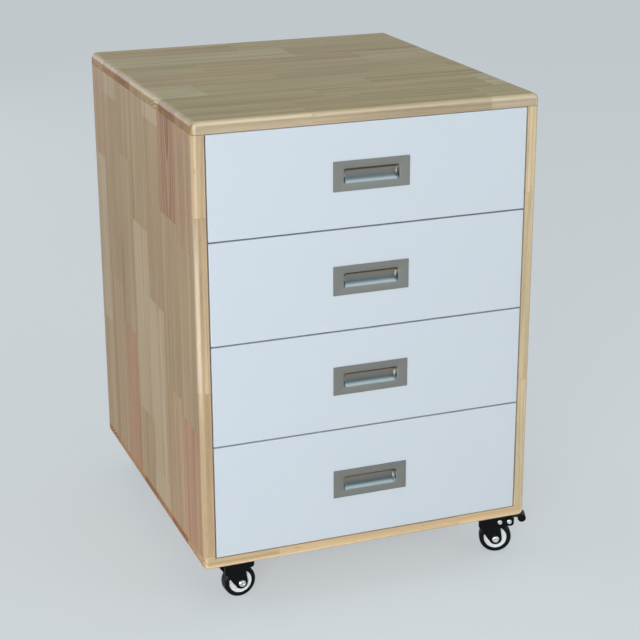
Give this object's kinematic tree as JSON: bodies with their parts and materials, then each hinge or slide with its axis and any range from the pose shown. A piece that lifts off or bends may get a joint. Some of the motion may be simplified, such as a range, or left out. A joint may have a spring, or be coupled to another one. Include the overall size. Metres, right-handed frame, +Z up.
{
  "type": "mobile pedestal cabinet",
  "caption": "Solid wood pedestal cabinet on swivel casters, with inset white drawer fronts, flush metal finger pulls and side-mounted drawer slides.",
  "frame": {"origin": "on the floor under the middle of the footprint, with the front right brake pedal counted in, so the body stands 7.3 mm to the left of it", "axes": "+Z up, the drawer fronts face -Y and open towards it, +X to the right as seen from the front"},
  "size_m": [0.5144, 0.549, 0.706],
  "materials": {
    "wood": "clear satin lacquer on edge-glued hardwood",
    "plywood": "bare birch plywood",
    "drawer_wood": "clear satin lacquer",
    "white_front": "satin white paint on fibreboard",
    "pull_metal": "satin nickel plating",
    "slide_steel": "bright zinc plating",
    "black_metal": "semi-gloss black coating",
    "bright_metal": "bright zinc plating",
    "wheel_black": "gloss black polyurethane",
    "ring_white": "satin white"
  },
  "bodies": {
    "cabinet": {"top_panel": "wood", "bottom_panel": "wood", "left_side_panel": "wood", "right_side_panel": "wood", "back_panel": "plywood", "drawer_1_left_rail": "slide_steel", "drawer_1_right_rail": "slide_steel", "drawer_2_left_rail": "slide_steel", "drawer_2_right_rail": "slide_steel", "drawer_3_left_rail": "slide_steel", "drawer_3_right_rail": "slide_steel", "drawer_4_left_rail": "slide_steel", "drawer_4_right_rail": "slide_steel", "front_left_caster_plate": "black_metal", "front_right_caster_plate": "black_metal", "rear_left_caster_plate": "black_metal", "rear_right_caster_plate": "black_metal"},
    "drawer_1": {"drawer_1_front": "white_front", "drawer_1_box": "drawer_wood", "drawer_1_bottom": "plywood", "drawer_1_pull": "pull_metal", "drawer_1_left_runner": "slide_steel", "drawer_1_right_runner": "slide_steel"},
    "drawer_2": {"drawer_2_front": "white_front", "drawer_2_box": "drawer_wood", "drawer_2_bottom": "plywood", "drawer_2_pull": "pull_metal", "drawer_2_left_runner": "slide_steel", "drawer_2_right_runner": "slide_steel"},
    "drawer_3": {"drawer_3_front": "white_front", "drawer_3_box": "drawer_wood", "drawer_3_bottom": "plywood", "drawer_3_pull": "pull_metal", "drawer_3_left_runner": "slide_steel", "drawer_3_right_runner": "slide_steel"},
    "drawer_4": {"drawer_4_front": "white_front", "drawer_4_box": "drawer_wood", "drawer_4_bottom": "plywood", "drawer_4_pull": "pull_metal", "drawer_4_left_runner": "slide_steel", "drawer_4_right_runner": "slide_steel"},
    "front_left_caster": {"front_left_fork": "black_metal", "front_left_axle": "bright_metal"},
    "front_left_roller": {"front_left_wheel": "wheel_black", "front_left_ring": "ring_white"},
    "front_right_caster": {"front_right_fork": "black_metal", "front_right_axle": "bright_metal"},
    "front_right_roller": {"front_right_wheel": "wheel_black", "front_right_ring": "ring_white"},
    "front_right_brake": {"front_right_brake_pedal": "black_metal"},
    "rear_left_caster": {"rear_left_fork": "black_metal", "rear_left_axle": "bright_metal"},
    "rear_left_roller": {"rear_left_wheel": "wheel_black", "rear_left_ring": "ring_white"},
    "rear_left_brake": {"rear_left_brake_pedal": "black_metal"},
    "rear_right_caster": {"rear_right_fork": "black_metal", "rear_right_axle": "bright_metal"},
    "rear_right_roller": {"rear_right_wheel": "wheel_black", "rear_right_ring": "ring_white"}
  },
  "joints": [
    {"name": "drawer_1_slide", "type": "slide", "parent": "cabinet", "child": "drawer_1", "axis": [0, -1, 0], "range_m": [0, 0.37]},
    {"name": "drawer_2_slide", "type": "slide", "parent": "cabinet", "child": "drawer_2", "axis": [0, -1, 0], "range_m": [0, 0.37]},
    {"name": "drawer_3_slide", "type": "slide", "parent": "cabinet", "child": "drawer_3", "axis": [0, -1, 0], "range_m": [0, 0.37]},
    {"name": "drawer_4_slide", "type": "slide", "parent": "cabinet", "child": "drawer_4", "axis": [0, -1, 0], "range_m": [0, 0.37]},
    {"name": "front_left_swivel", "type": "hinge", "parent": "cabinet", "child": "front_left_caster", "pos_m": [-0.21127, -0.236, 0.0595], "axis": [0, 0, 1], "continuous": true},
    {"name": "front_left_roll", "type": "hinge", "parent": "front_left_caster", "child": "front_left_roller", "pos_m": [-0.19533, -0.23461, 0.024], "axis": [-0.0872, 0.9962, 0], "continuous": true},
    {"name": "front_right_swivel", "type": "hinge", "parent": "cabinet", "child": "front_right_caster", "pos_m": [0.19673, -0.236, 0.0595], "axis": [0, 0, 1], "continuous": true},
    {"name": "front_right_roll", "type": "hinge", "parent": "front_right_caster", "child": "front_right_roller", "pos_m": [0.21167, -0.24173, 0.024], "axis": [0.3584, 0.9336, 0], "continuous": true},
    {"name": "front_right_pedal", "type": "hinge", "parent": "front_right_caster", "child": "front_right_brake", "pos_m": [0.21727, -0.24388, 0.0515], "axis": [0.3584, 0.9336, 0], "range_deg": [0, 13]},
    {"name": "rear_left_swivel", "type": "hinge", "parent": "cabinet", "child": "rear_left_caster", "pos_m": [-0.21127, 0.236, 0.0595], "axis": [0, 0, 1], "continuous": true},
    {"name": "rear_left_roll", "type": "hinge", "parent": "rear_left_caster", "child": "rear_left_roller", "pos_m": [-0.19542, 0.23377, 0.024], "axis": [0.1392, 0.9903, 0], "continuous": true},
    {"name": "rear_left_pedal", "type": "hinge", "parent": "rear_left_caster", "child": "rear_left_brake", "pos_m": [-0.18948, 0.23294, 0.0515], "axis": [0.1392, 0.9903, 0], "range_deg": [0, 13]},
    {"name": "rear_right_swivel", "type": "hinge", "parent": "cabinet", "child": "rear_right_caster", "pos_m": [0.19673, 0.236, 0.0595], "axis": [0, 0, 1], "continuous": true},
    {"name": "rear_right_roll", "type": "hinge", "parent": "rear_right_caster", "child": "rear_right_roller", "pos_m": [0.21226, 0.23987, 0.024], "axis": [-0.2419, 0.9703, 0], "continuous": true}
  ]
}
